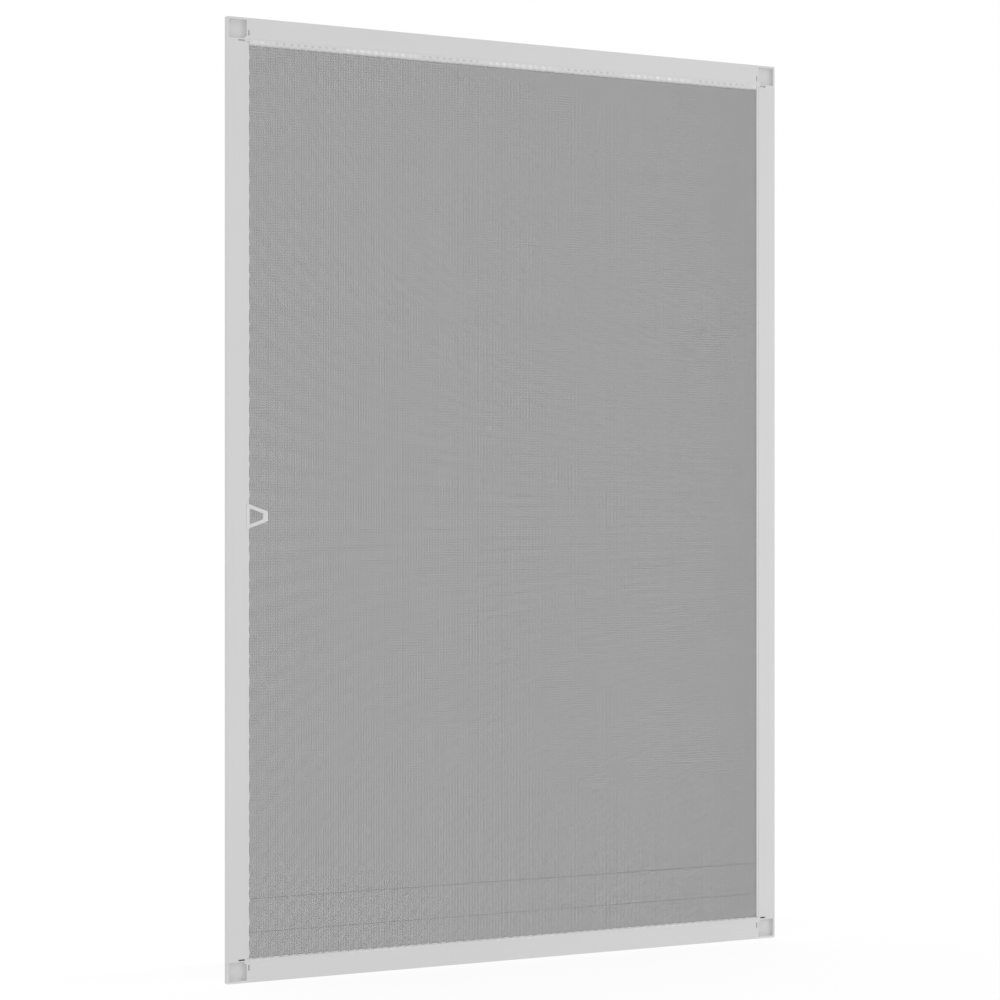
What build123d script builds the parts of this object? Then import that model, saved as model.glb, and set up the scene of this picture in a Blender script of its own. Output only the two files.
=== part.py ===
from build123d import *

import os

# Window insect screen: four hollow aluminium lengths joined by plug-in corner
# connectors, with a mesh held in the inner grooves by four retaining strips and
# a pull loop on the left stile. Millimetres. X is right, Y is away from the room,
# Z is up, and the origin is the middle of the bottom edge at mid-depth.

# Overall size
screen_width = 800.0
screen_height = 1200.0
frame_depth = 8.0
edge_round = 0.4

# Extruded section, measured from the outer edge inwards and from the front back
face_width = 25.8
back_width = 25.0
lip_width = 3.2
lip_recess = 0.5
lip_thickness = 1.0
groove_width = 4.0
wall = 1.2

# Retaining strips, and how far each one stands out of its groove
strip_width = 8.0
strip_clearance = 0.1
strip_round = 0.7
strip_end_gap = 0.2
groove_spare = 3.0
top_strip_show = 3.7
bottom_strip_show = 0.1
left_strip_show = 0.7
right_strip_show = -2.5
slit_depth = 3.0

# Corner connectors: they reach past the section by the lap
corner_lap = 0.5
corner_round = 1.2
seam_gap = 0.15
pocket_rim = 2.8
pocket_inner_rim = 3.3
pocket_floor = 2.5
pocket_bevel = 4.0
notch_start = 15.2
stile_notch_length = 8.5
stile_notch_width = 2.0
rail_notch_length = 7.0
rail_notch_width = 1.0
notch_floor = 2.0
leg_length = 42.0
leg_clearance = 0.15
leg_tip = 1.5
leg_rim = 3.0
leg_web = 3.0
leg_relief_inset = 6.0

# Mesh: flat bars that each stand for many fine yarns and cover the same share
mesh_thickness = 1.0
mesh_columns = 12
mesh_rows = 18
yarn_share = 0.46
mesh_clearance = 0.1
mesh_corner_clearance = 0.3

# Pull loop, measured from the edge of the stile's front face
loop_height = 580.0
loop_root = 32.7
loop_tip = 12.1
loop_reach = 28.8
loop_strip = 4.3
loop_bar = 6.7
loop_arm = 4.9
loop_clearance = 0.1
loop_back_gap = 0.3
loop_round = 1.5
loop_hole_round = 1.0
loop_edge_round = 0.5

# Worked out from the sizes above
front = -frame_depth / 2
rear = frame_depth / 2
half_width = screen_width / 2
section_width = face_width + lip_width
lip_back = lip_recess + lip_thickness
groove_middle = front + lip_back + groove_width / 2
groove_depth = strip_width + groove_spare
groove_floor = section_width - groove_depth
chamber_width = groove_floor - 2 * wall
chamber_depth = frame_depth - 2 * wall
corner_size = section_width + corner_lap

os.makedirs("parts", exist_ok=True)


def keep(piece, label):
    piece.part.label = label
    export_step(piece.part, f"parts/{label}.step")


# The four extrusions. Each section lies in a plane whose X runs from the outer
# edge inwards and whose Y runs from the front back. The length runs along its Z.
seam = corner_size + seam_gap
rail_length = screen_width - 2 * seam
stile_length = screen_height - 2 * seam
left_plane = Plane((-half_width, front, seam), x_dir=(1, 0, 0), z_dir=(0, 0, 1))
right_plane = Plane((half_width, front, screen_height - seam), x_dir=(-1, 0, 0), z_dir=(0, 0, -1))
top_plane = Plane((-half_width + seam, front, screen_height), x_dir=(0, 0, -1), z_dir=(1, 0, 0))
bottom_plane = Plane((half_width - seam, front, 0), x_dir=(0, 0, 1), z_dir=(-1, 0, 0))

extrusions = [
    ("left_stile", left_plane, stile_length),
    ("right_stile", right_plane, stile_length),
    ("top_rail", top_plane, rail_length),
    ("bottom_rail", bottom_plane, rail_length),
]

for label, plane, length in extrusions:
    with BuildPart() as extrusion:
        with BuildSketch(plane):
            Rectangle(back_width, frame_depth, align=Align.MIN)
            Rectangle(face_width, lip_back + groove_width / 2, align=Align.MIN)
            fillet(vertices(), edge_round)
            with Locations((face_width, lip_recess)):
                Rectangle(lip_width, lip_thickness, align=Align.MIN)
            with Locations((groove_floor, lip_back)):
                Rectangle(groove_depth, groove_width, align=Align.MIN, mode=Mode.SUBTRACT)
            with Locations((wall, wall)):
                Rectangle(chamber_width, chamber_depth, align=Align.MIN, mode=Mode.SUBTRACT)
        extrude(amount=length)
    keep(extrusion, label)

# The four corner connectors are turned a quarter each time. In their plane X and Y
# run along the two outer edges and Z runs from the rear to the front. A square pocket
# lightens the front, each seam has a short deep notch, wider at the stiles than at
# the rails, and two relieved legs plug into the hollow extrusions.
leg_width = chamber_width - 2 * leg_clearance
leg_depth = chamber_depth - 2 * leg_clearance
leg_edge = wall + leg_clearance
leg_middle = leg_edge + leg_width / 2
relief_width = leg_width - 2 * leg_rim
relief_length = leg_length - 2 * leg_relief_inset
relief_middle = corner_size + leg_length / 2
pocket_size = corner_size - pocket_rim - pocket_inner_rim
stile_notch = (stile_notch_length, stile_notch_width)
rail_notch = (rail_notch_length, rail_notch_width)

corners = [
    ("bottom_left_corner", (-half_width, rear, 0), (1, 0, 0), rail_notch, stile_notch),
    ("bottom_right_corner", (half_width, rear, 0), (0, 0, 1), stile_notch, rail_notch),
    ("top_right_corner", (half_width, rear, screen_height), (-1, 0, 0), rail_notch, stile_notch),
    ("top_left_corner", (-half_width, rear, screen_height), (0, 0, -1), stile_notch, rail_notch),
]

for label, outer_corner, along, x_notch, y_notch in corners:
    rear_plane = Plane(outer_corner, x_dir=along, z_dir=(0, -1, 0))
    front_plane = rear_plane.offset(frame_depth)
    with BuildPart() as corner:
        with BuildSketch(rear_plane):
            Rectangle(corner_size, corner_size, align=Align.MIN)
            fillet(vertices().sort_by_distance((0, 0))[0], corner_round)
        extrude(amount=frame_depth)
        front_and_rear = faces().sort_by(Axis.Y)
        fillet(front_and_rear[0].edges() + front_and_rear[-1].edges(), edge_round)
        with BuildSketch(front_plane):
            with Locations((pocket_rim, pocket_rim)):
                Rectangle(pocket_size, pocket_size, align=Align.MIN)
            chamfer(vertices().sort_by_distance((0, 0))[-1], pocket_bevel)
        extrude(amount=pocket_floor - frame_depth, mode=Mode.SUBTRACT)
        with BuildSketch(rear_plane.offset(leg_edge)):
            with Locations((corner_size, leg_edge)):
                Rectangle(leg_length, leg_width, align=Align.MIN)
            with Locations((leg_edge, corner_size)):
                Rectangle(leg_width, leg_length, align=Align.MIN)
            tips = vertices().group_by(Axis.X)[-1] + vertices().group_by(Axis.Y)[-1]
            chamfer(tips, leg_tip)
        extrude(amount=leg_depth)
        with BuildSketch(rear_plane.offset(leg_edge + leg_depth)):
            with Locations((relief_middle, leg_middle)):
                SlotOverall(relief_length, relief_width)
            with Locations((leg_middle, relief_middle)):
                SlotOverall(relief_length, relief_width, rotation=90)
        extrude(amount=leg_web - leg_depth, mode=Mode.SUBTRACT)
        with BuildSketch(front_plane):
            with Locations((corner_size, notch_start)):
                Rectangle(x_notch[1], x_notch[0], align=(Align.MAX, Align.MIN))
            with Locations((notch_start, corner_size)):
                Rectangle(y_notch[0], y_notch[1], align=(Align.MIN, Align.MAX))
        extrude(amount=notch_floor - frame_depth, mode=Mode.SUBTRACT)
    keep(corner, label)

# The retaining strips lie in the grooves, slit along the inner edge to grip the
# mesh. The stiles' strips run from corner to corner, and the rails' between them.
slit_width = mesh_thickness + 2 * mesh_clearance
strip_thickness = groove_width - 2 * strip_clearance
strip_low = corner_size + strip_end_gap
strip_high = screen_height - strip_low
strip_left = -half_width + max(corner_size, section_width + left_strip_show) + strip_end_gap
strip_right = half_width - max(corner_size, section_width + right_strip_show) - strip_end_gap
rail_strip_length = strip_right - strip_left
stile_strip_length = strip_high - strip_low
left_seat = Plane((-half_width, groove_middle, strip_low), x_dir=(1, 0, 0), z_dir=(0, 0, 1))
right_seat = Plane((half_width, groove_middle, strip_high), x_dir=(-1, 0, 0), z_dir=(0, 0, -1))
top_seat = Plane((strip_left, groove_middle, screen_height), x_dir=(0, 0, -1), z_dir=(1, 0, 0))
bottom_seat = Plane((strip_right, groove_middle, 0), x_dir=(0, 0, 1), z_dir=(-1, 0, 0))

strips = [
    ("left_strip", left_seat, left_strip_show, stile_strip_length),
    ("right_strip", right_seat, right_strip_show, stile_strip_length),
    ("top_strip", top_seat, top_strip_show, rail_strip_length),
    ("bottom_strip", bottom_seat, bottom_strip_show, rail_strip_length),
]

for label, plane, show, length in strips:
    with BuildPart() as strip:
        with BuildSketch(plane):
            with Locations((section_width + show, 0)):
                Rectangle(strip_width, strip_thickness, align=(Align.MAX, Align.CENTER))
                fillet(vertices(), strip_round)
                Rectangle(slit_depth, slit_width, align=(Align.MAX, Align.CENTER), mode=Mode.SUBTRACT)
        extrude(amount=length)
    keep(strip, label)

# The mesh fills the opening and its edges lie in the slits of the strips. The warp
# runs up the front, the weft runs across behind it, and they are welded where they
# cross. It is cut away at its four corners, where the connectors are.
edge_in_slit = section_width - slit_depth + mesh_clearance
mesh_left = -half_width + edge_in_slit + left_strip_show
mesh_right = half_width - edge_in_slit - right_strip_show
mesh_bottom = edge_in_slit + bottom_strip_show
mesh_top = screen_height - edge_in_slit - top_strip_show
mesh_width = mesh_right - mesh_left
mesh_height = mesh_top - mesh_bottom
mesh_middle = ((mesh_left + mesh_right) / 2, (mesh_bottom + mesh_top) / 2)
warp_pitch = mesh_width / mesh_columns
weft_pitch = mesh_height / mesh_rows
warp_gap = warp_pitch * (1 - yarn_share)
weft_gap = weft_pitch * (1 - yarn_share)
corner_cut = corner_size + mesh_corner_clearance
mesh_plane = Plane((0, groove_middle, 0), x_dir=(1, 0, 0), z_dir=(0, -1, 0))


def cut_mesh_corners():
    with Locations((0, screen_height / 2)):
        with GridLocations(screen_width - corner_cut, screen_height - corner_cut, 2, 2):
            Rectangle(corner_cut, corner_cut, mode=Mode.SUBTRACT)


with BuildPart() as screen_mesh:
    with BuildSketch(mesh_plane):
        with Locations(mesh_middle):
            Rectangle(mesh_width, mesh_height)
            with GridLocations(warp_pitch, 0, mesh_columns, 1):
                Rectangle(warp_gap, mesh_height, mode=Mode.SUBTRACT)
        cut_mesh_corners()
    extrude(amount=mesh_thickness / 2)
    with BuildSketch(mesh_plane):
        with Locations(mesh_middle):
            Rectangle(mesh_width, mesh_height)
            with GridLocations(0, weft_pitch, 1, mesh_rows):
                Rectangle(mesh_width, weft_gap, mode=Mode.SUBTRACT)
        cut_mesh_corners()
    extrude(amount=-mesh_thickness / 2)
keep(screen_mesh, "screen_mesh")

# The pull loop is a flat trapezoid. Its root lies on the recessed lip of the left
# stile, flush with the front, and the loop thickens behind once it is past the lip.
loop_plane = Plane((-half_width + face_width, front, loop_height), x_dir=(1, 0, 0), z_dir=(0, -1, 0))
loop_thickness = lip_back - loop_back_gap
loop_slope = (loop_root - loop_tip) / 2 / (loop_reach - loop_clearance)
hole_start = loop_strip
hole_end = loop_reach - loop_bar
hole_start_half = loop_root / 2 - loop_slope * (hole_start - loop_clearance) - loop_arm
hole_end_half = loop_root / 2 - loop_slope * (hole_end - loop_clearance) - loop_arm

with BuildPart() as pull_loop:
    with BuildSketch(loop_plane):
        with BuildLine():
            Polyline(
                (loop_clearance, -loop_root / 2),
                (loop_reach, -loop_tip / 2),
                (loop_reach, loop_tip / 2),
                (loop_clearance, loop_root / 2),
                close=True,
            )
        make_face()
        fillet(vertices().group_by(Axis.X)[-1], loop_round)
    extrude(amount=-loop_thickness)
    with BuildSketch(loop_plane):
        with BuildLine():
            Polyline(
                (hole_start, -hole_start_half),
                (hole_end, -hole_end_half),
                (hole_end, hole_end_half),
                (hole_start, hole_start_half),
                close=True,
            )
        make_face()
        fillet(vertices().group_by(Axis.X)[-1], loop_hole_round)
    extrude(amount=-loop_thickness, mode=Mode.SUBTRACT)
    fillet(faces().sort_by(Axis.Y)[0].edges(), loop_edge_round)
    with BuildSketch(loop_plane.offset(-loop_thickness)):
        Rectangle(lip_width + loop_clearance, loop_root, align=(Align.MIN, Align.CENTER))
    extrude(amount=loop_thickness - lip_recess, mode=Mode.SUBTRACT)
keep(pull_loop, "pull_loop")
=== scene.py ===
import math

import bpy
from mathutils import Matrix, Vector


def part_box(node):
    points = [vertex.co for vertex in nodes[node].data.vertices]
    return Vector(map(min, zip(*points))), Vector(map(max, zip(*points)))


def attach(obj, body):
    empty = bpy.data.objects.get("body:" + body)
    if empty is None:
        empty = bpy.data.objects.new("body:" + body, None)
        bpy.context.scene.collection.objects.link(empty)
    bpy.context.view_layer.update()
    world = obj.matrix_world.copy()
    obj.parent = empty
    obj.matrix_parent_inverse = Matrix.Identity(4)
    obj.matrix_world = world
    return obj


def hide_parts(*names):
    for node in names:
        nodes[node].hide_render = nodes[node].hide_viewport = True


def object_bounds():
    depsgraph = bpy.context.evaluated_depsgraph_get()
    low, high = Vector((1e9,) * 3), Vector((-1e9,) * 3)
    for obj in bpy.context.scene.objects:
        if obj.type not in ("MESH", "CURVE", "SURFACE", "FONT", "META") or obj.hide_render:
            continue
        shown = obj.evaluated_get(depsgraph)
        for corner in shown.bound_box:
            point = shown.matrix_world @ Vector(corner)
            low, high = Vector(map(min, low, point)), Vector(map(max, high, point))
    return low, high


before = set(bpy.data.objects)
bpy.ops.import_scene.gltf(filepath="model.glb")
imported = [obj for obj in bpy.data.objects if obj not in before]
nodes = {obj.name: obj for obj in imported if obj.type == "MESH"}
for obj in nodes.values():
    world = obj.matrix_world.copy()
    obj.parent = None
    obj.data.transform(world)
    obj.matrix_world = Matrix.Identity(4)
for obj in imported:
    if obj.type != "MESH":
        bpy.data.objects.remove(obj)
cad_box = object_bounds()


# Stiles and rails
# Four lengths of one hollow aluminium extrusion, cut square and powder coated white.
# The coat is satin, with a fine orange peel and faint die lines along each length.

def add_node(tree, kind, inputs=None, **settings):
    """Adds a node, then sets each input to a value or links it to another node's output."""
    node = tree.nodes.new(kind)
    for name, value in settings.items():
        setattr(node, name, value)
    for key, value in (inputs or {}).items():
        socket = node.inputs[key]
        if isinstance(value, bpy.types.NodeSocket):
            tree.links.new(value, socket)
        else:
            socket.default_value = value
    return node


def new_finish(name):
    """A material with its tree, its shader and the piece's own coordinates."""
    material = bpy.data.materials.new(name)
    material.use_nodes = True
    tree = material.node_tree
    shader = tree.nodes["Principled BSDF"]
    place = add_node(tree, "ShaderNodeTexCoord").outputs["Object"]
    return material, tree, shader, place


def noise(tree, place, size, detail=2.0):
    """Noise whose lumps are about this many metres across."""
    return add_node(
        tree, "ShaderNodeTexNoise", {"Vector": place, "Scale": 1.0 / size, "Detail": detail}
    ).outputs["Fac"]


def ramp(tree, factor, *stops):
    """Maps a factor to the colours given as (position, grey)."""
    node = add_node(tree, "ShaderNodeValToRGB", {"Fac": factor})
    elements = node.color_ramp.elements
    while len(elements) < len(stops):
        elements.new(1.0)
    for element, (position, grey) in zip(elements, stops):
        element.position = position
        element.color = (grey, grey, grey, 1.0)
    return node.outputs["Color"]


noise_low = 0.3
noise_high = 0.7


def spread(tree, factor, low, high):
    """Maps the common range of a noise factor to the range from low to high."""
    return add_node(
        tree,
        "ShaderNodeMapRange",
        {
            "Value": factor,
            "From Min": noise_low,
            "From Max": noise_high,
            "To Min": low,
            "To Max": high,
        },
    ).outputs["Result"]


def tint(tree, factor, low_grey, high_grey):
    """Maps the common range of a noise factor to the colours between two greys."""
    return ramp(tree, factor, (noise_low, low_grey), (noise_high, high_grey))


def math_node(tree, operation, first, second=0.0):
    return add_node(tree, "ShaderNodeMath", {0: first, 1: second}, operation=operation).outputs[0]


def bump(tree, height, depth, strength):
    """A normal that follows a height, at most this many metres deep."""
    return add_node(
        tree, "ShaderNodeBump", {"Height": height, "Distance": depth, "Strength": strength}
    ).outputs["Normal"]


die_line_size = 0.0015
die_line_detail = 4.0
die_line_stretch = 0.01
peel_size = 0.0016
peel_depth = 0.00004
peel_strength = 0.35
coat_drift_size = 0.12
coat_stops = ((0.35, 0.675), (0.65, 0.695))
coat_roughness = (0.38, 0.5)


def powder_coat(name, stretch):
    """A coat whose die lines run along the axis that is stretched."""
    material, tree, shader, place = new_finish(name)
    along = add_node(tree, "ShaderNodeMapping", {"Vector": place, "Scale": stretch}).outputs["Vector"]
    die_lines = noise(tree, along, die_line_size, die_line_detail)
    peel = noise(tree, place, peel_size)
    drift = noise(tree, place, coat_drift_size)
    tone = math_node(tree, "MULTIPLY", math_node(tree, "ADD", die_lines, drift), 0.5)
    tree.links.new(ramp(tree, tone, *coat_stops), shader.inputs["Base Color"])
    tree.links.new(spread(tree, peel, *coat_roughness), shader.inputs["Roughness"])
    tree.links.new(bump(tree, peel, peel_depth, peel_strength), shader.inputs["Normal"])
    return material


stile_coat = powder_coat("powder_coat_stiles", (1.0, 1.0, die_line_stretch))
rail_coat = powder_coat("powder_coat_rails", (die_line_stretch, 1.0, 1.0))
for name, coat in (
    ("left_stile", stile_coat),
    ("right_stile", stile_coat),
    ("top_rail", rail_coat),
    ("bottom_rail", rail_coat),
):
    nodes[name].material_slots[0].material = coat


# Corner connectors
# Four white plastic mouldings. Their legs are pressed into the hollow lengths. The tool
# leaves a fine matt texture. Painted light makes the plastic whiter where it is partly
# sheltered, and painted shade makes the deep slots of the two lower ones almost black.

slot_reach = 0.003
slot_openness = 0.1
# Painted light: partly sheltered places, such as pocket walls, are whiter than the open face.
painted_light_stops = ((0.3, 0.8), (0.6, 0.77), (0.92, 0.69))
# Slot greys: the plastic's own grey for the upper connectors, and painted shade, near black, for the
# lower ones.
unshaded_slot_grey = 0.7
painted_slot_shade_grey = 0.02
mould_texture_size = 0.0007
mould_texture_detail = 3.0
mould_texture_depth = 0.00003
mould_texture_strength = 0.4
mould_roughness = (0.5, 0.62)


def moulded_plastic(name, slot_grey):
    """A plastic whose grey follows how open the surface is: painted light where it is partly
    sheltered, and the slot grey in the deepest slots.
    """
    material, tree, shader, place = new_finish(name)
    openness = add_node(
        tree, "ShaderNodeAmbientOcclusion", {"Distance": slot_reach}, samples=8
    ).outputs["AO"]
    tone = ramp(tree, openness, (slot_openness, slot_grey), *painted_light_stops)
    tree.links.new(tone, shader.inputs["Base Color"])
    texture = noise(tree, place, mould_texture_size, mould_texture_detail)
    tree.links.new(spread(tree, texture, *mould_roughness), shader.inputs["Roughness"])
    relief = bump(tree, texture, mould_texture_depth, mould_texture_strength)
    tree.links.new(relief, shader.inputs["Normal"])
    return material


# The lower pair gets painted shade in its slots.
upper_plastic = moulded_plastic("moulded_corner_upper", unshaded_slot_grey)
shaded_slot_plastic = moulded_plastic("moulded_corner_lower_painted_slot_shade", painted_slot_shade_grey)
for name, plastic in (
    ("bottom_left_corner", shaded_slot_plastic),
    ("bottom_right_corner", shaded_slot_plastic),
    ("top_right_corner", upper_plastic),
    ("top_left_corner", upper_plastic),
):
    nodes[name].material_slots[0].material = plastic


# Seam filler
# A hairline of white filler in each butt seam between a connector and a length, wiped
# flush with both. It stops at the slots, but at the top it has run into those by the
# stiles and lies in them a little below the face.

filler_start = 0.0292
filler_end = 0.02965
filler_sink = 0.00003
slot_start = 0.0152
stile_slot_end = 0.0237
rail_slot_end = 0.0222
stile_slot_back = 0.0275
stile_slot_front = 0.0295
slot_fill_sink = 0.0022
slot_fill_depth = 0.0012
face_edge = 0.0258
smear_size = 0.002
filler_greys = (0.685, 0.7)
filler_roughness = (0.45, 0.55)

seam_white, tree, shader, place = new_finish("seam_white")
smear = noise(tree, place, smear_size)
tree.links.new(tint(tree, smear, *filler_greys), shader.inputs["Base Color"])
tree.links.new(spread(tree, smear, *filler_roughness), shader.inputs["Roughness"])

frame_low, frame_high = cad_box
filler_points = []
filler_faces = []
block_sides = (
    (0, 1, 3, 2),
    (4, 6, 7, 5),
    (0, 4, 5, 1),
    (2, 3, 7, 6),
    (0, 2, 6, 4),
    (1, 5, 7, 3),
)


def add_block(low, high):
    """Adds a block between two opposite corners."""
    first = len(filler_points)
    for x in (low[0], high[0]):
        for y in (low[1], high[1]):
            for z in (low[2], high[2]):
                filler_points.append((x, y, z))
    for side in block_sides:
        filler_faces.append([first + corner for corner in side])


def from_edge(low_edge, high_edge, start, end):
    """The span from start to end inwards, measured from the low edge and from the high edge."""
    return ((low_edge + start, low_edge + end), (high_edge - end, high_edge - start))


front_and_back = (frame_low.y + filler_sink, frame_high.y - filler_sink)
seam_x = from_edge(frame_low.x, frame_high.x, filler_start, filler_end)
seam_z = from_edge(frame_low.z, frame_high.z, filler_start, filler_end)
for start, end in ((filler_sink, slot_start), (stile_slot_end, face_edge)):
    for x_span in from_edge(frame_low.x, frame_high.x, start, end):
        for z_span in seam_z:
            add_block(*zip(x_span, front_and_back, z_span))
for start, end in ((filler_sink, slot_start), (rail_slot_end, face_edge)):
    for z_span in from_edge(frame_low.z, frame_high.z, start, end):
        for x_span in seam_x:
            add_block(*zip(x_span, front_and_back, z_span))
slot_fill_front = frame_low.y + slot_fill_sink
slot_fill_y = (slot_fill_front, slot_fill_front + slot_fill_depth)
upper_slot_z = (frame_high.z - stile_slot_front, frame_high.z - stile_slot_back)
for x_span in from_edge(frame_low.x, frame_high.x, slot_start, stile_slot_end):
    add_block(*zip(x_span, slot_fill_y, upper_slot_z))
filler_mesh = bpy.data.meshes.new("seam_filler")
filler_mesh.from_pydata(filler_points, [], filler_faces)
filler_mesh.materials.append(seam_white)
seam_filler = bpy.data.objects.new("seam_filler", filler_mesh)
bpy.context.collection.objects.link(seam_filler)
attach(seam_filler, "root")


# Insect mesh
# Coated glass fibre yarns at 1.2 mm, woven in plain weave and welded at the crossings.
# It is rolled flat over the frame and drawn tight as the strips go into the grooves.

yarn_pitch = 0.0012
yarn_thickness = 0.00055
yarn_sides = 6
layer_offset = 0.0002
corner_reach = 0.0298
lower_heavy_weft = 0.0613
upper_heavy_weft = 0.1039
heavy_share = 0.335
yarn_unevenness = 0.025
warp_start = -0.01
warp_growth = 0.00007
rhythm_left = 0.195
rhythm_right = 0.022
rhythm_fade_start = 50.0
rhythm_fade_end = 560.0
rhythm_start = 0.393
rhythm_drift = -0.0002036
weft_rhythm = 0.135
weft_rhythm_rate = 0.363
weft_fade_start = 70.0
weft_fade_end = 200.0
yarn_seed = 4
fleck_size = 0.004
yarn_greys = (0.075, 0.1)
weave_detail = 1.0
weave_depth = 0.00008
weave_strength = 0.5
yarn_roughness = (0.5, 0.65)

mesh_low, mesh_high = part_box("screen_mesh")

yarn_coat, tree, shader, place = new_finish("yarn_coat")
fleck = noise(tree, place, fleck_size)
tree.links.new(tint(tree, fleck, *yarn_greys), shader.inputs["Base Color"])
weave = noise(tree, place, yarn_pitch, weave_detail)
tree.links.new(spread(tree, weave, *yarn_roughness), shader.inputs["Roughness"])
tree.links.new(bump(tree, weave, weave_depth, weave_strength), shader.inputs["Normal"])


def new_tree(name, *inputs):
    """A geometry node tree with named inputs, and the node that gives them."""
    tree = bpy.data.node_groups.new(name, "GeometryNodeTree")
    for label, kind in inputs:
        tree.interface.new_socket(label, in_out="INPUT", socket_type=kind)
    tree.interface.new_socket("Geometry", in_out="OUTPUT", socket_type="NodeSocketGeometry")
    return tree, add_node(tree, "NodeGroupInput").outputs


def finish_tree(tree, geometry, material):
    """Ends a tree in plain geometry with its material."""
    plain = add_node(tree, "GeometryNodeRealizeInstances", {"Geometry": geometry}).outputs[0]
    smooth = add_node(tree, "GeometryNodeSetShadeSmooth", {"Geometry": plain}).outputs[0]
    dressed = add_node(
        tree, "GeometryNodeSetMaterial", {"Geometry": smooth, "Material": material}
    ).outputs[0]
    add_node(tree, "NodeGroupOutput", {"Geometry": dressed})


def point_places(tree):
    """The three coordinates of each point."""
    position = add_node(tree, "GeometryNodeInputPosition").outputs["Position"]
    return add_node(tree, "ShaderNodeSeparateXYZ", {"Vector": position}).outputs


def build_piece(name, tree, values):
    """Runs a tree once and keeps what it makes as a plain mesh."""
    piece = bpy.data.objects.new(name, bpy.data.meshes.new(name))
    bpy.context.collection.objects.link(piece)
    modifier = piece.modifiers.new("build", "NODES")
    modifier.node_group = tree
    for item in tree.interface.items_tree:
        if item.in_out == "INPUT":
            modifier[item.identifier] = values[item.name]
    graph = bpy.context.evaluated_depsgraph_get()
    mesh = bpy.data.meshes.new_from_object(piece.evaluated_get(graph))
    piece.modifiers.remove(modifier)
    piece.data = mesh
    return piece


float_input = "NodeSocketFloat"
tree, given = new_tree(
    "woven_mesh",
    ("Low", "NodeSocketVector"),
    ("High", "NodeSocketVector"),
    ("Pitch", float_input),
    ("Thickness", float_input),
    ("Sides", "NodeSocketInt"),
    ("Layer Offset", float_input),
    ("Connector Edge X", float_input),
    ("Connector Edge Z", float_input),
    ("Lower Heavy Weft", float_input),
    ("Upper Heavy Weft", float_input),
    ("Heavy Share", float_input),
    ("Warp Start", float_input),
    ("Warp Growth", float_input),
    ("Rhythm Left", float_input),
    ("Rhythm Right", float_input),
    ("Rhythm Fade Start", float_input),
    ("Rhythm Fade End", float_input),
    ("Rhythm Start", float_input),
    ("Rhythm Drift", float_input),
    ("Weft Rhythm", float_input),
    ("Weft Rhythm Rate", float_input),
    ("Weft Fade Start", float_input),
    ("Weft Fade End", float_input),
    ("Unevenness", float_input),
    ("Seed", "NodeSocketInt"),
    ("Material", "NodeSocketMaterial"),
)
low = add_node(tree, "ShaderNodeSeparateXYZ", {"Vector": given["Low"]}).outputs
high = add_node(tree, "ShaderNodeSeparateXYZ", {"Vector": given["High"]}).outputs
spot = point_places(tree)
half_pitch = math_node(tree, "MULTIPLY", given["Pitch"], 0.5)
mid_depth = math_node(tree, "MULTIPLY", math_node(tree, "ADD", low["Y"], high["Y"]), 0.5)
yarn_line = add_node(
    tree, "GeometryNodeCurvePrimitiveLine", {"End": (0.0, 0.0, 1.0)}
).outputs["Curve"]
yarn_section = add_node(
    tree,
    "GeometryNodeCurvePrimitiveCircle",
    {"Resolution": given["Sides"], "Radius": math_node(tree, "MULTIPLY", given["Thickness"], 0.5)},
).outputs["Curve"]
yarn = add_node(
    tree,
    "GeometryNodeCurveToMesh",
    {"Curve": yarn_line, "Profile Curve": yarn_section, "Fill Caps": True},
).outputs["Mesh"]
uneven = add_node(
    tree,
    "FunctionNodeRandomValue",
    {
        2: math_node(tree, "SUBTRACT", 1.0, given["Unevenness"]),
        3: math_node(tree, "ADD", 1.0, given["Unevenness"]),
        "Seed": given["Seed"],
    },
    data_type="FLOAT",
).outputs[1]


def vector(tree, x, y, z):
    return add_node(tree, "ShaderNodeCombineXYZ", {"X": x, "Y": y, "Z": z}).outputs["Vector"]


def smooth_step(tree, value, start, end):
    """Rises smoothly from 0 at the start to 1 at the end."""
    return add_node(
        tree,
        "ShaderNodeMapRange",
        {"Value": value, "From Min": start, "From Max": end},
        interpolation_type="SMOOTHSTEP",
    ).outputs["Result"]


def yarn_set(count, first, step, shift, turn, share, length):
    """One set of parallel yarns, each shifted to its own end and cut to its own length."""
    row = add_node(
        tree, "GeometryNodeMeshLine", {"Count": count, "Start Location": first, "Offset": step}
    ).outputs["Mesh"]
    ends = add_node(tree, "GeometryNodeSetPosition", {"Geometry": row, "Offset": shift})
    return add_node(
        tree,
        "GeometryNodeInstanceOnPoints",
        {
            "Points": ends.outputs["Geometry"],
            "Instance": yarn,
            "Rotation": turn,
            "Scale": vector(tree, share, share, length),
        },
    ).outputs["Instances"]


# The warp runs up the screen, in front. By the connectors it ends at their top edge.
# Its thickness follows a slowly drifting rhythm of a few yarns, seen as fine upright
# lines, which are strongest on the left. It also grows a little from left to right.
beside = math_node(
    tree, "GREATER_THAN", math_node(tree, "ABSOLUTE", spot["X"]), given["Connector Edge X"]
)
clipped = math_node(tree, "SUBTRACT", given["Connector Edge Z"], low["Z"])
warp_low = math_node(tree, "ADD", low["Z"], math_node(tree, "MULTIPLY", beside, clipped))
full_turn = 2.0 * math.pi
order = add_node(tree, "GeometryNodeInputIndex").outputs["Index"]
drifted = math_node(tree, "MULTIPLY", order, given["Rhythm Drift"])
beats = math_node(tree, "MULTIPLY", order, math_node(tree, "ADD", drifted, given["Rhythm Start"]))
beat = math_node(tree, "SINE", math_node(tree, "MULTIPLY", beats, full_turn))
faded = smooth_step(tree, order, given["Rhythm Fade Start"], given["Rhythm Fade End"])
fade = math_node(tree, "SUBTRACT", given["Rhythm Right"], given["Rhythm Left"])
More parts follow.
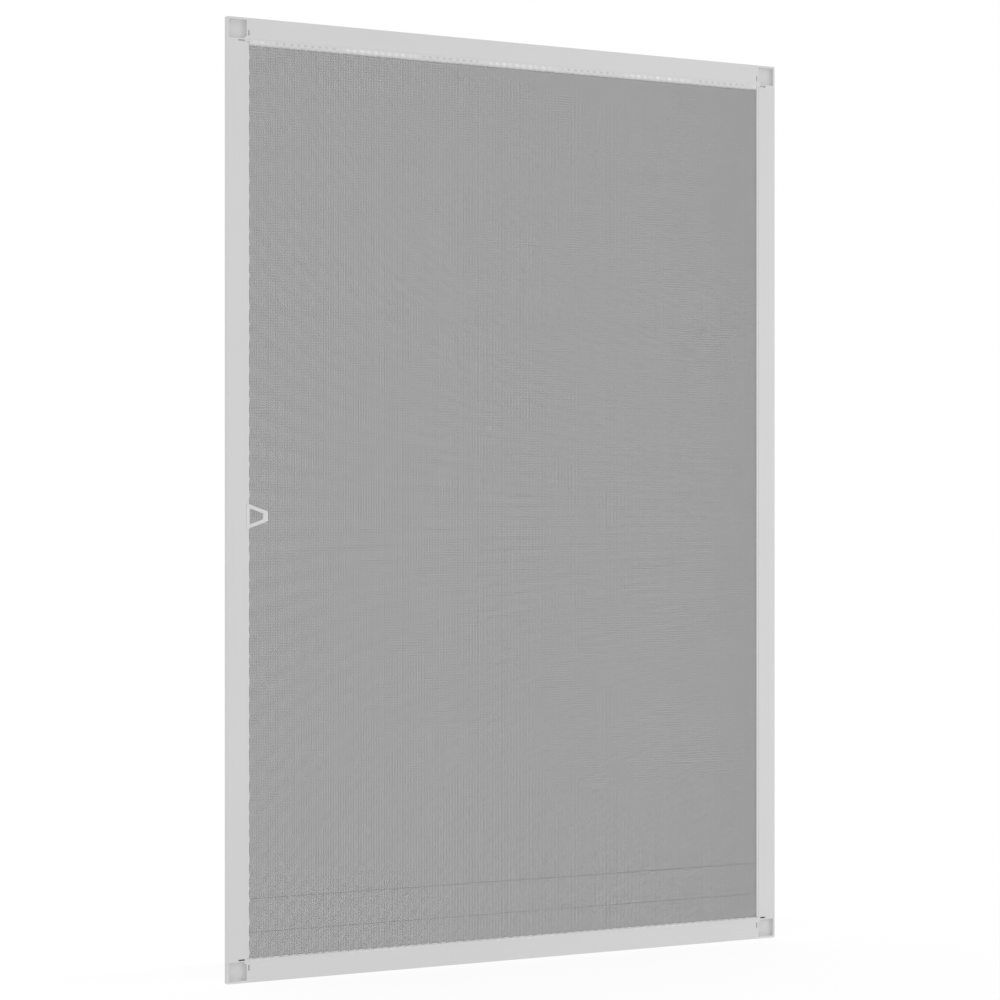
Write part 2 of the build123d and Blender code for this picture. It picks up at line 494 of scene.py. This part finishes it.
strength = math_node(tree, "ADD", given["Rhythm Left"], math_node(tree, "MULTIPLY", faded, fade))
grown = math_node(tree, "MULTIPLY", order, given["Warp Growth"])
even_share = math_node(tree, "ADD", uneven, math_node(tree, "ADD", grown, given["Warp Start"]))
warp_share = math_node(tree, "ADD", even_share, math_node(tree, "MULTIPLY", beat, strength))
warp_span = math_node(tree, "SUBTRACT", high["X"], low["X"])
warp = yarn_set(
    math_node(tree, "FLOOR", math_node(tree, "DIVIDE", warp_span, given["Pitch"])),
    vector(
        tree,
        math_node(tree, "ADD", low["X"], half_pitch),
        math_node(tree, "SUBTRACT", mid_depth, given["Layer Offset"]),
        0.0,
    ),
    vector(tree, given["Pitch"], 0.0, 0.0),
    vector(tree, 0.0, 0.0, warp_low),
    (0.0, 0.0, 0.0),
    warp_share,
    math_node(tree, "SUBTRACT", high["Z"], warp_low),
)

# The weft runs across, behind. Its lowest yarns end at the connectors, and two of
# its yarns near the bottom are heavier. Above them its thickness follows a rhythm of
# a few yarns too, seen as fine level lines.
below = math_node(tree, "LESS_THAN", spot["Z"], given["Connector Edge Z"])
left_cut = math_node(tree, "ADD", low["X"], given["Connector Edge X"])
right_cut = math_node(tree, "SUBTRACT", high["X"], given["Connector Edge X"])
weft_left = math_node(tree, "SUBTRACT", low["X"], math_node(tree, "MULTIPLY", below, left_cut))
weft_right = math_node(tree, "SUBTRACT", high["X"], math_node(tree, "MULTIPLY", below, right_cut))
heavy = 0.0
for line in ("Lower Heavy Weft", "Upper Heavy Weft"):
    away = math_node(tree, "ABSOLUTE", math_node(tree, "SUBTRACT", spot["Z"], given[line]))
    near = math_node(tree, "LESS_THAN", away, half_pitch)
    heavy = math_node(tree, "ADD", math_node(tree, "MULTIPLY", near, given["Heavy Share"]), heavy)
weft_beats = math_node(tree, "MULTIPLY", order, given["Weft Rhythm Rate"])
weft_beat = math_node(tree, "SINE", math_node(tree, "MULTIPLY", weft_beats, full_turn))
weft_fade = smooth_step(tree, order, given["Weft Fade Start"], given["Weft Fade End"])
weft_strength = math_node(tree, "MULTIPLY", weft_fade, given["Weft Rhythm"])
swing = math_node(tree, "MULTIPLY", weft_beat, weft_strength)
weft_share = math_node(tree, "ADD", uneven, math_node(tree, "ADD", heavy, swing))
weft_span = math_node(tree, "SUBTRACT", high["Z"], low["Z"])
weft = yarn_set(
    math_node(tree, "FLOOR", math_node(tree, "DIVIDE", weft_span, given["Pitch"])),
    vector(
        tree,
        0.0,
        math_node(tree, "ADD", mid_depth, given["Layer Offset"]),
        math_node(tree, "ADD", low["Z"], half_pitch),
    ),
    vector(tree, 0.0, 0.0, given["Pitch"]),
    vector(tree, weft_left, 0.0, 0.0),
    (0.0, math.radians(90.0), 0.0),
    weft_share,
    math_node(tree, "SUBTRACT", weft_right, weft_left),
)
both_sets = add_node(tree, "GeometryNodeJoinGeometry")
tree.links.new(warp, both_sets.inputs["Geometry"])
tree.links.new(weft, both_sets.inputs["Geometry"])
finish_tree(tree, both_sets.outputs["Geometry"], given["Material"])

insect_mesh = build_piece(
    "insect_mesh",
    tree,
    {
        "Low": mesh_low,
        "High": mesh_high,
        "Pitch": yarn_pitch,
        "Thickness": yarn_thickness,
        "Sides": yarn_sides,
        "Layer Offset": layer_offset,
        "Connector Edge X": frame_high.x - corner_reach,
        "Connector Edge Z": corner_reach,
        "Lower Heavy Weft": lower_heavy_weft,
        "Upper Heavy Weft": upper_heavy_weft,
        "Heavy Share": heavy_share,
        "Warp Start": warp_start,
        "Warp Growth": warp_growth,
        "Rhythm Left": rhythm_left,
        "Rhythm Right": rhythm_right,
        "Rhythm Fade Start": rhythm_fade_start,
        "Rhythm Fade End": rhythm_fade_end,
        "Rhythm Start": rhythm_start,
        "Rhythm Drift": rhythm_drift,
        "Weft Rhythm": weft_rhythm,
        "Weft Rhythm Rate": weft_rhythm_rate,
        "Weft Fade Start": weft_fade_start,
        "Weft Fade End": weft_fade_end,
        "Unevenness": yarn_unevenness,
        "Seed": yarn_seed,
        "Material": yarn_coat,
    },
)
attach(insect_mesh, "root")
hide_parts("screen_mesh")


# Retaining strips
# Four soft white plastic strips, pressed flat into the grooves with the edge of the mesh.
# Their inner edges are wavy, and a little swollen where they stand out past the lips.

strip_edge_round = 0.0012
strip_step = 0.0011
strip_jitter_size = 0.04
profile_points = 36
round_points = 4
lip_reach = 0.029
wave_allowance = 0.65
swell_full = 0.7
bloom_size = 0.003
bloom_detail = 3.0
strip_greys = (0.76, 0.81)
strip_roughness = (0.4, 0.55)
fuzz_size = 0.0008
fuzz_depth = 0.00005
fuzz_strength = 0.4

soft_strip, tree, shader, place = new_finish("soft_strip")
bloom = noise(tree, place, bloom_size, bloom_detail)
fuzz = noise(tree, place, fuzz_size)
tree.links.new(tint(tree, bloom, *strip_greys), shader.inputs["Base Color"])
tree.links.new(spread(tree, bloom, *strip_roughness), shader.inputs["Roughness"])
tree.links.new(bump(tree, fuzz, fuzz_depth, fuzz_strength), shader.inputs["Normal"])


def product(tree, first, *others):
    for other in others:
        first = math_node(tree, "MULTIPLY", first, other)
    return first


def swept_bar(tree, given):
    """A rounded bar along X, and the place of its points."""
    half_length = math_node(tree, "MULTIPLY", given["Length"], 0.5)
    line = add_node(
        tree,
        "GeometryNodeCurvePrimitiveLine",
        {
            "Start": vector(tree, math_node(tree, "MULTIPLY", half_length, -1.0), 0.0, 0.0),
            "End": vector(tree, half_length, 0.0, 0.0),
        },
    ).outputs["Curve"]
    path = add_node(
        tree, "GeometryNodeResampleCurve", {"Curve": line, "Length": given["Step"]}, mode="LENGTH"
    ).outputs["Curve"]
    bar = add_node(
        tree,
        "GeometryNodeCurvePrimitiveQuadrilateral",
        {"Width": given["Thickness"], "Height": given["Width"]},
    ).outputs["Curve"]
    rounded = add_node(
        tree,
        "GeometryNodeFilletCurve",
        {
            "Curve": bar,
            "Count": round_points,
            "Radius": given["Edge Round"],
            "Limit Radius": True,
        },
        mode="POLY",
    ).outputs["Curve"]
    profile = add_node(
        tree, "GeometryNodeResampleCurve", {"Curve": rounded, "Count": given["Profile Points"]}
    ).outputs["Curve"]
    swept = add_node(
        tree,
        "GeometryNodeCurveToMesh",
        {"Curve": path, "Profile Curve": profile, "Fill Caps": True},
    ).outputs["Mesh"]
    return swept, point_places(tree)


def drift_along(tree, spot, size, fineness=1.0, row=0.0):
    """Slow noise along the length. Another row gives another noise."""
    along = vector(tree, math_node(tree, "DIVIDE", spot["X"], size), row, 0.0)
    return noise(tree, along, 1.0 / fineness, 1.0)


def swelled_and_placed(tree, given, geometry, height):
    """Moves each point along its normal by the height, then the whole to its place."""
    outward = add_node(tree, "GeometryNodeInputNormal").outputs["Normal"]
    offset = add_node(
        tree, "ShaderNodeVectorMath", {0: outward, "Scale": height}, operation="SCALE"
    ).outputs["Vector"]
    moved = add_node(
        tree, "GeometryNodeSetPosition", {"Geometry": geometry, "Offset": offset}
    ).outputs["Geometry"]
    return add_node(
        tree,
        "GeometryNodeTransform",
        {"Geometry": moved, "Translation": given["Middle"], "Rotation": given["Turn"]},
    ).outputs["Geometry"]


bar_inputs = (
    ("Length", float_input),
    ("Width", float_input),
    ("Thickness", float_input),
    ("Edge Round", float_input),
    ("Step", float_input),
    ("Profile Points", "NodeSocketInt"),
    ("Middle", "NodeSocketVector"),
    ("Turn", "NodeSocketVector"),
    ("Material", "NodeSocketMaterial"),
)
tree, given = new_tree(
    "retaining_strip",
    *bar_inputs,
    ("Show", float_input),
    ("Swell", float_input),
    ("Wave Pitch", float_input),
    ("Wave Height", float_input),
    ("Jitter", float_input),
    ("Jitter Size", float_input),
)
swept, spot = swept_bar(tree, given)
inward = math_node(tree, "ADD", spot["Z"], math_node(tree, "MULTIPLY", given["Width"], 0.5))
past_lip = smooth_step(tree, math_node(tree, "DIVIDE", inward, given["Show"]), 1.0, swell_full)
drift = drift_along(tree, spot, given["Jitter Size"])
stray = math_node(tree, "MULTIPLY", drift, given["Jitter"])
wave_turns = math_node(tree, "DIVIDE", spot["X"], given["Wave Pitch"])
wave_angle = math_node(tree, "ADD", math_node(tree, "MULTIPLY", wave_turns, full_turn), stray)
wave = math_node(tree, "SINE", wave_angle)
dip = product(tree, math_node(tree, "SUBTRACT", wave, 1.0), given["Wave Height"], 0.5)
swell = math_node(tree, "MULTIPLY", given["Swell"], past_lip)
placed = swelled_and_placed(tree, given, swept, math_node(tree, "ADD", swell, dip))
finish_tree(tree, placed, given["Material"])

top_show = frame_high.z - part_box("top_strip")[0].z - lip_reach
left_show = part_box("left_strip")[1].x - frame_low.x - lip_reach
hidden = 0.0005
for name, turn, show, swell_height, spare, wave_pitch, wave_height, jitter in (
    ("top_strip", 0.0, top_show, 0.001, 0.0, 0.0096, 0.0006, 0.0),
    ("bottom_strip", 180.0, hidden, 0.0002, 0.0012, 0.0115, 0.001, 3.0),
    ("left_strip", -90.0, left_show, 0.0002, 0.0012, 0.0196, 0.0009, 12.0),
    ("right_strip", 90.0, hidden, 0.0, -0.0008, 0.0096, 0.0006, 0.0),
):
    strip_low, strip_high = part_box(name)
    strip_size = strip_high - strip_low
    pressed_strip = build_piece(
        "pressed_" + name,
        tree,
        {
            "Length": max(strip_size.x, strip_size.z),
            "Width": min(strip_size.x, strip_size.z) + wave_allowance * wave_height + spare,
            "Thickness": strip_size.y,
            "Edge Round": strip_edge_round,
            "Step": strip_step,
            "Profile Points": profile_points,
            "Middle": (strip_low + strip_high) / 2,
            "Turn": (0.0, math.radians(turn), 0.0),
            "Material": soft_strip,
            "Show": show,
            "Swell": swell_height,
            "Wave Pitch": wave_pitch,
            "Wave Height": wave_height,
            "Jitter": jitter,
            "Jitter Size": strip_jitter_size,
        },
    )
    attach(pressed_strip, "root")
    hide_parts(name)


# Outer ply
# The flattened outer ply of the top strip lies over the lip of the top rail, and a narrower
# one over the lip of the bottom rail. Twisting turns now the smooth crests of a ply and now
# the creases between them to the front. Their light and shade is mostly painted: painted
# highlights on the crests, which stand out by only 0.14 mm, and painted shade in the
# creases, which have no relief.

ply_thickness = 0.00036
ply_face_lap = 0.0002
ply_end_reach = 0.0002
ply_strip_gap = 0.0002
ply_slant = 160.0
ply_jitter = 2.4
jitter_size = 0.02
ply_relief = 0.00014
roll_pitch = 0.203
flicker_fineness = 2.0
flicker_row = 5.0
flicker_range = (0.3, 0.62)
crest_band = ((0.82, 0.58), (0.05, 0.3))
crease_band = ((0.2, 0.42), (0.75, 0.6))
crest_roll = (-0.4, 0.5)
crest_wave = (-0.8, 0.5)
crease_roll = (0.1, -0.6)
crease_wave = (0.1, 0.8)
# Painted shade in the creases, the ply's own grey, and painted highlight on the crests.
painted_crease_shade_grey = 0.54
ply_grey = 0.685
painted_crest_highlight_grey = 0.82

twisted_ply, tree, shader, place = new_finish("twisted_ply")
# The stored value puts painted light and shade into the base colour.
ply_painted_light_shade = add_node(tree, "ShaderNodeAttribute", attribute_name="ply_painted_light_shade").outputs["Fac"]
ply_tone = ramp(tree, ply_painted_light_shade, (0.0, painted_crease_shade_grey), (0.5, ply_grey), (1.0, painted_crest_highlight_grey))
tree.links.new(ply_tone, shader.inputs["Base Color"])
fuzz = noise(tree, place, fuzz_size)
tree.links.new(spread(tree, fuzz, *strip_roughness), shader.inputs["Roughness"])
tree.links.new(bump(tree, fuzz, fuzz_depth, fuzz_strength), shader.inputs["Normal"])

tree, given = new_tree(
    "outer_ply",
    *bar_inputs,
    ("Ply Pitch", float_input),
    ("Ply Slant", float_input),
    ("Jitter", float_input),
    ("Jitter Size", float_input),
    ("Relief", float_input),
    ("Roll Pitch", float_input),
    ("Roll Start", float_input),
    ("Crest Highlight Share", float_input),
    ("Crease Shade Share", float_input),
)
swept, spot = swept_bar(tree, given)
drift = math_node(tree, "SUBTRACT", drift_along(tree, spot, given["Jitter Size"]), 0.5)
flicker = drift_along(tree, spot, given["Jitter Size"], flicker_fineness, flicker_row)
flicker = smooth_step(tree, flicker, *flicker_range)

# Across the ply the crests lie towards the mesh and the creases half way. Along it, each
# shows where the roll and the turn of the ply bring it to the front. The crests get a
# painted highlight and a little relief, and the creases get painted shade only.
share = math_node(tree, "ADD", math_node(tree, "DIVIDE", spot["Z"], given["Width"]), 0.5)
near_mesh = product(tree, *(smooth_step(tree, share, *edge) for edge in crest_band))
half_way = product(tree, *(smooth_step(tree, share, *edge) for edge in crease_band))
ply_turns = math_node(tree, "DIVIDE", spot["X"], given["Ply Pitch"])
slant = math_node(tree, "MULTIPLY", spot["Z"], given["Ply Slant"])
ply_angle = math_node(tree, "ADD", math_node(tree, "MULTIPLY", ply_turns, full_turn), slant)
stray = math_node(tree, "MULTIPLY", drift, given["Jitter"])
wave = math_node(tree, "SINE", math_node(tree, "ADD", ply_angle, stray))
roll_turns = math_node(tree, "DIVIDE", spot["X"], given["Roll Pitch"])
roll_angle = math_node(
    tree, "ADD", math_node(tree, "MULTIPLY", roll_turns, full_turn), given["Roll Start"]
)
roll = math_node(tree, "ADD", math_node(tree, "SINE", roll_angle), drift)
crest = product(
    tree,
    smooth_step(tree, roll, *crest_roll),
    smooth_step(tree, wave, *crest_wave),
    near_mesh,
    flicker,
)
crease = product(
    tree,
    smooth_step(tree, roll, *crease_roll),
    smooth_step(tree, wave, *crease_wave),
    half_way,
)
# Painted highlight on the crests and painted shade in the creases, stored for the material.
painted_highlight = product(tree, crest, given["Crest Highlight Share"], 0.5)
painted_shade = product(tree, crease, given["Crease Shade Share"], 0.5)
painted_light_and_shade = math_node(tree, "SUBTRACT", painted_highlight, painted_shade)
shaded = add_node(
    tree,
    "GeometryNodeStoreNamedAttribute",
    {"Geometry": swept, "Name": "ply_painted_light_shade", "Value": math_node(tree, "ADD", painted_light_and_shade, 0.5)},
    data_type="FLOAT",
    domain="POINT",
).outputs["Geometry"]
relief = product(tree, math_node(tree, "SUBTRACT", crest, 1.0), given["Relief"], 0.5)
placed = swelled_and_placed(tree, given, shaded, relief)
finish_tree(tree, placed, given["Material"])

ply_front = frame_low.y + ply_relief / 2
top_ply = (frame_high.z - face_edge + ply_face_lap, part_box("top_strip")[0].z + ply_strip_gap)
bottom_ply = (frame_low.z + face_edge - ply_face_lap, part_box("bottom_strip")[1].z - ply_strip_gap)
for name, turn, edges, ply_pitch, roll_start, crest_highlight_share, crease_shade_share in (
    ("top", 0.0, top_ply, 0.0096, 1.323, 1.0, 1.0),
    ("bottom", 180.0, bottom_ply, 0.0115, 2.2, 0.6, 0.2),
):
    strip_low, strip_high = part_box(name + "_strip")
    face_side, strip_side = edges
    outer_ply = build_piece(
        name + "_outer_ply",
        tree,
        {
            "Length": strip_high.x - strip_low.x + 2.0 * ply_end_reach,
            "Width": abs(face_side - strip_side),
            "Thickness": ply_thickness,
            "Edge Round": ply_thickness / 2,
            "Step": strip_step,
            "Profile Points": profile_points,
            "Middle": (
                (strip_low.x + strip_high.x) / 2,
                ply_front + ply_thickness / 2,
                (face_side + strip_side) / 2,
            ),
            "Turn": (0.0, math.radians(turn), 0.0),
            "Material": twisted_ply,
            "Ply Pitch": ply_pitch,
            "Ply Slant": ply_slant,
            "Jitter": ply_jitter,
            "Jitter Size": jitter_size,
            "Relief": ply_relief,
            "Roll Pitch": roll_pitch,
            "Roll Start": roll_start,
            "Crest Highlight Share": crest_highlight_share,
            "Crease Shade Share": crease_shade_share,
        },
    )
    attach(outer_ply, "root")


# Pull loop
# A small flat loop moulded in smooth white plastic and bonded to the lip of the left
# stile. A fingertip in it draws the screen out of the window.

flow_size = 0.006
flow_detail = 1.0
flow_depth = 0.00005
flow_strength = 0.3
loop_greys = (0.69, 0.715)
loop_roughness = (0.3, 0.4)

smooth_plastic, tree, shader, place = new_finish("smooth_plastic")
flow = noise(tree, place, flow_size, flow_detail)
tree.links.new(tint(tree, flow, *loop_greys), shader.inputs["Base Color"])
tree.links.new(spread(tree, flow, *loop_roughness), shader.inputs["Roughness"])
tree.links.new(bump(tree, flow, flow_depth, flow_strength), shader.inputs["Normal"])
nodes["pull_loop"].material_slots[0].material = smooth_plastic


# Studio
# A pale table that ends close behind the screen, an even white surround, and one soft
# lamp low in front on the right. The camera stands to the left and looks level.

fill_strength = 0.84


def seen_directly(tree):
    """1 for what the camera sees, also by reflection or through glass, and otherwise 0."""
    path = add_node(tree, "ShaderNodeLightPath").outputs
    seen = math_node(tree, "MAXIMUM", path["Is Camera Ray"], path["Is Glossy Ray"])
    return math_node(tree, "MAXIMUM", seen, path["Is Transmission Ray"])


world = bpy.data.worlds.new("studio")
bpy.context.scene.world = world
world.use_nodes = True
tree = world.node_tree
tree.nodes.clear()
strength = add_node(
    tree,
    "ShaderNodeMapRange",
    {"Value": seen_directly(tree), "To Min": fill_strength, "To Max": 1.0},
).outputs["Result"]
surround = add_node(
    tree, "ShaderNodeBackground", {"Color": (1.0, 1.0, 1.0, 1.0), "Strength": strength}
).outputs["Background"]
add_node(tree, "ShaderNodeOutputWorld", {"Surface": surround})

floor_side = 4.0
floor_front = 6.0
floor_back = 0.14
lighting_paint = (0.12, 0.72)
seen_paint = (0.13, 0.89)

floor_mesh = bpy.data.meshes.new("floor")
floor_mesh.from_pydata(
    [
        (-floor_side, -floor_front, 0.0),
        (floor_side, -floor_front, 0.0),
        (floor_side, floor_back, 0.0),
        (-floor_side, floor_back, 0.0),
    ],
    [],
    [(0, 1, 2, 3)],
)
floor = bpy.data.objects.new("floor", floor_mesh)
bpy.context.collection.objects.link(floor)
floor_paint = bpy.data.materials.new("floor_paint")
floor_paint.use_nodes = True
tree = floor_paint.node_tree
tree.nodes.clear()


def glowing_paint(tree, grey, strength):
    """A pale paint that takes shadows and is lit from below."""
    paint = add_node(tree, "ShaderNodeBsdfDiffuse", {"Color": (grey, grey, grey, 1.0)}).outputs["BSDF"]
    glow = add_node(tree, "ShaderNodeEmission", {"Strength": strength}).outputs["Emission"]
    return add_node(tree, "ShaderNodeAddShader", {0: paint, 1: glow}).outputs["Shader"]


both = add_node(
    tree,
    "ShaderNodeMixShader",
    {
        "Fac": seen_directly(tree),
        1: glowing_paint(tree, *lighting_paint),
        2: glowing_paint(tree, *seen_paint),
    },
).outputs["Shader"]
add_node(tree, "ShaderNodeOutputMaterial", {"Surface": both})
floor_mesh.materials.append(floor_paint)


lamp_place = (1.2, -2.0, 0.35)
lamp_size = 1.6
lamp_power = 8.0

lamp = bpy.data.lights.new("front_lamp", "AREA")
lamp.shape = "SQUARE"
lamp.size = lamp_size
lamp.energy = lamp_power
front_lamp = bpy.data.objects.new("front_lamp", lamp)
front_lamp.location = lamp_place
middle = (frame_low + frame_high) / 2
front_lamp.rotation_euler = (middle - front_lamp.location).to_track_quat("-Z", "Y").to_euler()
bpy.context.collection.objects.link(front_lamp)

lens_length = 90.99
sensor_width = 36.0
frame_shift = (0.0001, 0.0193)
camera_place = (-1.4849, -2.9598, 0.5763)
level_view = 90.0
turn_to_right = 26.32

camera = bpy.data.objects.new("camera", bpy.data.cameras.new("camera"))
camera.data.lens = lens_length
camera.data.sensor_width = sensor_width
camera.data.shift_x, camera.data.shift_y = frame_shift
camera.location = camera_place
camera.rotation_euler = (math.radians(level_view), 0.0, math.radians(-turn_to_right))
bpy.context.collection.objects.link(camera)
bpy.context.scene.camera = camera
bpy.context.scene.view_settings.view_transform = "Standard"
